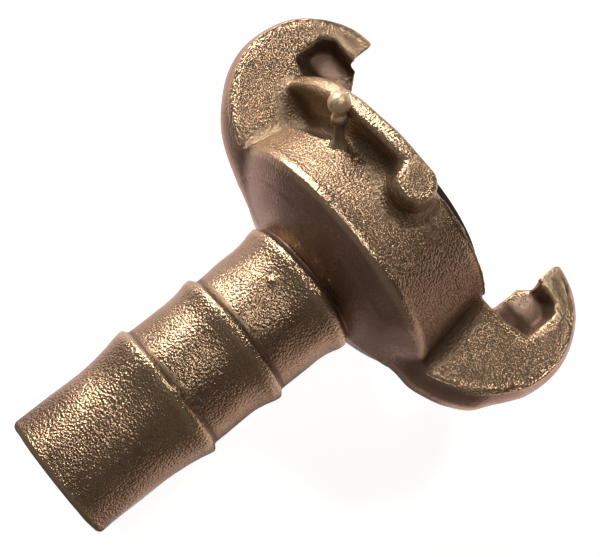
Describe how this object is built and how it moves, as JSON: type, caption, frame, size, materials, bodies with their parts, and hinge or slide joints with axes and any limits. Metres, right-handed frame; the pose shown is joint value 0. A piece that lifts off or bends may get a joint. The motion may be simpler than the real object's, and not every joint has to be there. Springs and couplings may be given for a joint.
{
  "type": "claw hose coupling",
  "caption": "Cast brass twist-lock claw coupling half with a barbed hose tail, two hooked claws, a locking flange with a foot on each side, stop pins and a rubber face seal.",
  "frame": {"origin": "centre of the open hose end", "axes": "+Z along the bore towards the coupling face, +Y towards one claw, +X across the claws"},
  "size_m": [0.0488, 0.0672, 0.0757],
  "materials": {
    "cast_brass": "rough sand casting, lightly blasted",
    "seal_rubber": "matt moulded rubber",
    "pin_brass": "worn satin"
  },
  "bodies": {
    "root": {"coupling_body": "cast_brass", "face_seal": "seal_rubber", "stop_pin_front": "pin_brass", "stop_pin_back": "pin_brass"}
  },
  "joints": []
}
